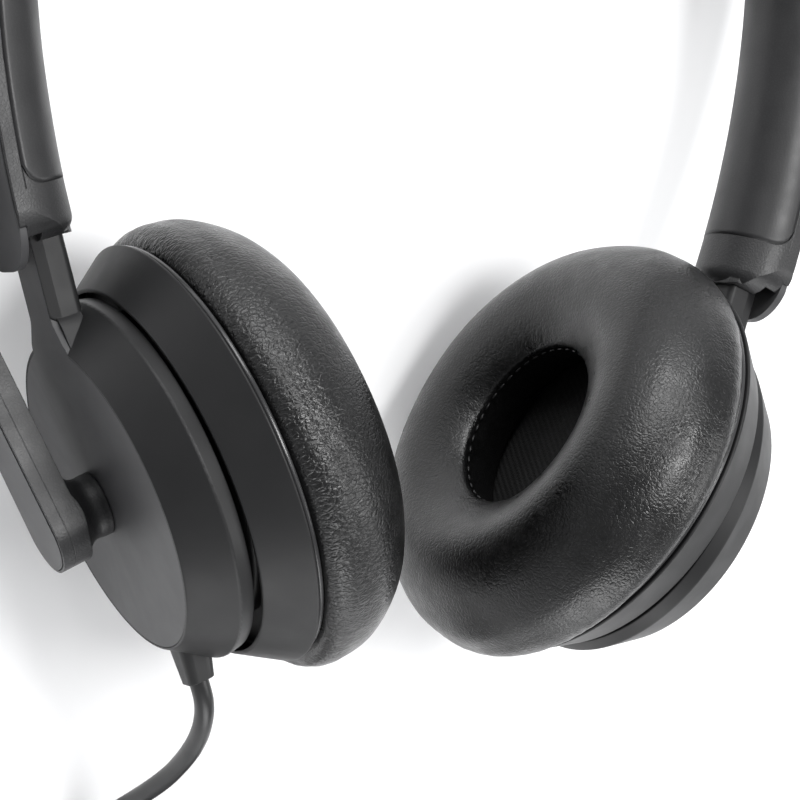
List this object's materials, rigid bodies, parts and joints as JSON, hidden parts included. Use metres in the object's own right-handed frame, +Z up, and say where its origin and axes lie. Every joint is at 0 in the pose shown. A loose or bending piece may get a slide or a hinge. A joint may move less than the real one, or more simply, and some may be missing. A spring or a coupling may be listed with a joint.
{
  "type": "office headset",
  "caption": "Wired on-ear office headset with a padded headband on sliders, round gimballed ear cups, a turning boom microphone and a coiled USB cord.",
  "frame": {"origin": "middle of the underside of the box round the headset, on the table that it lies on, without the cord", "axes": "+X from the left cup to the right cup, +Y from the cups to the crown, +Z up from the table, towards the back of the wearer"},
  "size_m": [0.1566, 0.2619, 0.0699],
  "materials": {
    "satin_plastic": "smooth satin moulding",
    "matt_plastic": "fine spark-eroded grain",
    "grained_plastic": "fine leather grain",
    "inner_plastic": "plain moulding",
    "gloss_trim": "polished bead",
    "steel": "stamped and brushed",
    "magnet_steel": "plated",
    "soft_rubber": "matt",
    "diaphragm": "thin film",
    "speaker_cloth": "fine ribbed knit",
    "leatherette": "pebbled, semi-gloss",
    "pad_leatherette": "soft-touch, satin",
    "board": "solder mask",
    "cord_jacket": "satin jacket",
    "tie_cloth": "hook-and-loop",
    "plug_body": "matt overmould",
    "plug_metal": "nickel plated",
    "plug_insulator": "plain moulding"
  },
  "bodies": {
    "headband": {"headband_cover": "satin_plastic", "headband_frame": "grained_plastic", "headband_pad": "pad_leatherette", "headband_spring": "steel", "headband_screws": "steel", "left_detent_spring": "steel", "right_detent_spring": "steel"},
    "left_arm": {"left_arm_cover": "satin_plastic", "left_arm_housing": "matt_plastic", "left_face_screws": "steel", "left_slider_rail": "steel", "left_slider_stop": "inner_plastic", "left_gimbal_bracket": "inner_plastic", "left_gimbal_bushes": "soft_rubber", "main_board": "board", "cord_strain_relief": "soft_rubber", "boom_bush": "inner_plastic", "cord_tube": "cord_jacket", "cord_coil": "cord_jacket", "cord_tail": "cord_jacket", "coil_tie": "tie_cloth", "plug_overmould": "plug_body", "plug_shell": "plug_metal", "plug_tongue": "plug_insulator"},
    "left_gimbal": {"left_gimbal_ring": "inner_plastic"},
    "left_cup": {"left_pivot_yoke": "inner_plastic", "left_back_shell": "matt_plastic", "left_cup_ring": "matt_plastic", "left_cup_screws": "steel", "left_driver_basket": "inner_plastic", "left_driver_magnet": "magnet_steel", "left_driver_cone": "diaphragm", "left_speaker_cloth": "speaker_cloth", "left_cushion_clip": "gloss_trim", "left_cushion": "leatherette"},
    "right_arm": {"right_arm_cover": "satin_plastic", "right_arm_housing": "matt_plastic", "right_face_screws": "steel", "right_slider_rail": "steel", "right_slider_stop": "inner_plastic", "right_gimbal_bracket": "inner_plastic", "right_gimbal_bushes": "soft_rubber"},
    "right_gimbal": {"right_gimbal_ring": "inner_plastic"},
    "right_cup": {"right_pivot_yoke": "inner_plastic", "right_back_shell": "matt_plastic", "right_cup_ring": "matt_plastic", "right_cup_screws": "steel", "right_driver_basket": "inner_plastic", "right_driver_magnet": "magnet_steel", "right_driver_cone": "diaphragm", "right_speaker_cloth": "speaker_cloth", "right_cushion_clip": "gloss_trim", "right_cushion": "leatherette"},
    "boom": {"boom_cover": "satin_plastic", "boom_middle_band": "grained_plastic", "boom_inner_shell": "grained_plastic", "boom_axle": "steel", "boom_clip": "steel", "microphone_capsule": "diaphragm", "microphone_grille": "steel"}
  },
  "joints": [
    {"name": "left_slide", "type": "slide", "parent": "headband", "child": "left_arm", "axis": [0.295, -0.9367, 0.1885], "range_m": [0, 0.021]},
    {"name": "right_slide", "type": "slide", "parent": "headband", "child": "right_arm", "axis": [-0.295, -0.9367, 0.1885], "range_m": [0, 0.021]},
    {"name": "left_swivel", "type": "hinge", "parent": "left_arm", "child": "left_gimbal", "pos_m": [-0.03896, -0.05749, 0.03501], "axis": [-0.4042, 0.895, -0.1886], "range_deg": [-4.5, 4.5], "stiffness_Nm_per_rad": 0.6},
    {"name": "left_nod", "type": "hinge", "parent": "left_gimbal", "child": "left_cup", "pos_m": [-0.03896, -0.05749, 0.03501], "axis": [0.068, -0.1762, -0.982], "range_deg": [-3.7, 5.3], "stiffness_Nm_per_rad": 0.6},
    {"name": "right_swivel", "type": "hinge", "parent": "right_arm", "child": "right_gimbal", "pos_m": [0.0465, -0.05749, 0.03501], "axis": [-0.4042, -0.895, 0.1886], "range_deg": [-4.5, 4.5], "stiffness_Nm_per_rad": 0.6},
    {"name": "right_nod", "type": "hinge", "parent": "right_gimbal", "child": "right_cup", "pos_m": [0.0465, -0.05749, 0.03501], "axis": [0.068, 0.1762, 0.982], "range_deg": [-1.7, 7.3], "stiffness_Nm_per_rad": 0.6},
    {"name": "boom_turn", "type": "hinge", "parent": "left_arm", "child": "boom", "pos_m": [-0.05334, -0.06558, 0.03221], "axis": [-0.9121, -0.4098, 0.0103], "range_deg": [-7, 133]}
  ]
}
